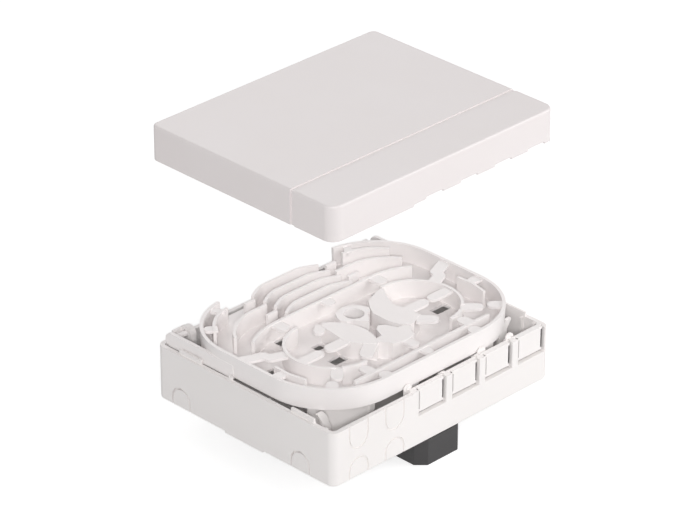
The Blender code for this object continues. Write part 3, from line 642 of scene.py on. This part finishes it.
def pan_head_screw(node_name, piece_name):
    low, high = (Vector(v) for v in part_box(node_name))
    middle = (low + high) / 2
    head_radius = (high.x - low.x) / 2
    foot, seat = low.z + POINT_LENGTH, high.z - HEAD_HEIGHT
    deselect_all()
    bpy.ops.mesh.primitive_cylinder_add(
        vertices=32,
        radius=SHANK_RADIUS,
        depth=seat - foot,
        location=(middle.x, middle.y, (seat + foot) / 2),
    )
    screw = bpy.context.object
    screw.name = piece_name
    bpy.ops.object.transform_apply(location=True, rotation=True, scale=True)
    bpy.ops.object.mode_set(mode="EDIT")
    pick_faces(screw, lambda centre, normal: normal.z < -0.9)
    extrude_by(0, 0, -POINT_LENGTH)
    widen(POINT_SHARE, (middle.x, middle.y, low.z))
    pick_faces(screw, lambda centre, normal: normal.z > 0.9)
    extrude_by(0, 0, 0)
    widen(head_radius / SHANK_RADIUS, (middle.x, middle.y, seat))
    extrude_by(0, 0, HEAD_HEIGHT / 2)
    extrude_by(0, 0, HEAD_HEIGHT / 2)
    widen(PAN_SHARE, (middle.x, middle.y, high.z))
    bpy.ops.object.mode_set(mode="OBJECT")
    arm, half = head_radius * RECESS_SHARE, RECESS_HALF_WIDTH
    for reach_x, reach_y in ((arm, half), (half, arm)):
        recess_low = (middle.x - reach_x, middle.y - reach_y, high.z - MM)
        recess_high = (middle.x + reach_x, middle.y + reach_y, high.z + MM)
        cut_away(screw, block("recess", recess_low, recess_high))
    soften(screw, SCREW_EDGE)
    dress(screw, [node_name], zinc_plate)


for number in (1, 2):
    pan_head_screw(f"carrier_screw_{number}", f"pan_screw_{number}")

# %% [markdown]
# ## Studio
#
# The box floats on white, as in a catalogue. The floor is pale grey card, dark enough
# not to light the walls from below more than they are in the photograph. For the camera
# alone, and for mirror rays, it glows as well, so that the lit card reaches pure white
# while the shadow on it still shows. The world could have held a gradient, but an even
# tent gives the plain light under which a white part shows its own shade.

# %% Floor
FLOOR_SIZE = 12
CARD_SHADE = "#CFCFCF"
CARD_GLOW = 0.62

deselect_all()
bpy.ops.mesh.primitive_plane_add(size=FLOOR_SIZE, location=(0, 0, 0))
floor = bpy.context.object
floor.name = "studio_floor"


def seen_directly(tree):
    """1 for rays from the camera, from a mirror or through glass, and 0 for light."""
    rays = add_node(tree, "ShaderNodeLightPath")
    seen = add_node(
        tree,
        "ShaderNodeMath",
        {"operation": "MAXIMUM"},
        {0: rays.outputs["Is Camera Ray"], 1: rays.outputs["Is Glossy Ray"]},
    )
    through = add_node(
        tree,
        "ShaderNodeMath",
        {"operation": "MAXIMUM"},
        {0: seen.outputs[0], 1: rays.outputs["Is Transmission Ray"]},
    )
    return through.outputs[0]


card = bpy.data.materials.new("pale grey card")
card.use_nodes = True
card_tree = card.node_tree
card_tree.nodes.clear()
diffuse = add_node(card_tree, "ShaderNodeBsdfDiffuse", {"Color": linear(CARD_SHADE)})
glow = add_node(card_tree, "ShaderNodeEmission", {"Color": (1, 1, 1, 1), "Strength": CARD_GLOW})
lit = add_node(card_tree, "ShaderNodeAddShader", links={0: diffuse.outputs[0], 1: glow.outputs[0]})
shown = add_node(
    card_tree,
    "ShaderNodeMixShader",
    links={0: seen_directly(card_tree), 1: diffuse.outputs[0], 2: lit.outputs[0]},
)
add_node(card_tree, "ShaderNodeOutputMaterial", links={"Surface": shown.outputs[0]})
floor.data.materials.append(card)

# %% Tent
TENT_LIGHT = 0.35

world = bpy.data.worlds.new("white tent")
bpy.context.scene.world = world
world.use_nodes = True
tent = world.node_tree
level = add_node(
    tent,
    "ShaderNodeMapRange",
    {"To Min": TENT_LIGHT, "To Max": 1.0},
    {"Value": seen_directly(tent)},
)
sky = tent.nodes["Background"]
sky.inputs["Color"].default_value = (1, 1, 1, 1)
tent.links.new(level.outputs["Result"], sky.inputs["Strength"])

# %% [markdown]
# Three soft boxes do the rest. The one beside the camera reaches in under the lid and
# lights the tray, the one to the right of it makes the port side the brightest, and a
# weak one behind keeps the far sides from going grey. Each one's strength is written as
# the brightness that it gives a white face turned towards it, and its power follows
# from its distance.


# %% Soft boxes
def soft_box(name, direction, distance, size, brightness):
    deselect_all()
    aim = Vector((0, 0, 60 * MM))
    towards = Vector(direction).normalized()
    bpy.ops.object.light_add(type="AREA", location=aim + towards * distance)
    lamp = bpy.context.object
    lamp.name = name
    lamp.data.shape = "DISK"
    lamp.data.size = size
    lamp.data.energy = brightness * (math.pi * distance) ** 2
    lamp.rotation_mode = "QUATERNION"
    lamp.rotation_quaternion = towards.to_track_quat("Z", "Y")
    print(name, round(lamp.data.energy, 1), "W")


soft_box("camera_side_box", (-0.6205, -0.6349, 0.4602), 2.6, 0.5, 0.52)
soft_box("port_side_box", (0.64, -0.66, 0.40), 1.1, 0.8, 0.46)
soft_box("back_box", (0.45, 0.75, 0.48), 2.2, 1.4, 0.16)

# %% [markdown]
# ## Camera
#
# A long lens from the front left, a little above: the lines of the box converge only
# slightly, which is how a catalogue shows a technical part.

# %% Camera
deselect_all()
bpy.ops.object.camera_add(location=(-0.9577, -0.9598, 0.8043))
camera = bpy.context.object
camera.data.sensor_width = 36
camera.data.lens = 200.9
camera.data.clip_start = 0.05
camera.data.clip_end = 20
azimuth, elevation = math.radians(-44.871), math.radians(28.521)
back = Vector(
    (
        math.sin(azimuth) * math.cos(elevation),
        -math.cos(azimuth) * math.cos(elevation),
        math.sin(elevation),
    )
)
camera.rotation_mode = "QUATERNION"
camera.rotation_quaternion = back.to_track_quat("Z", "Y")
bpy.context.scene.camera = camera
bpy.context.scene.view_settings.view_transform = "Standard"

# %% The end
bpy.context.view_layer.update()
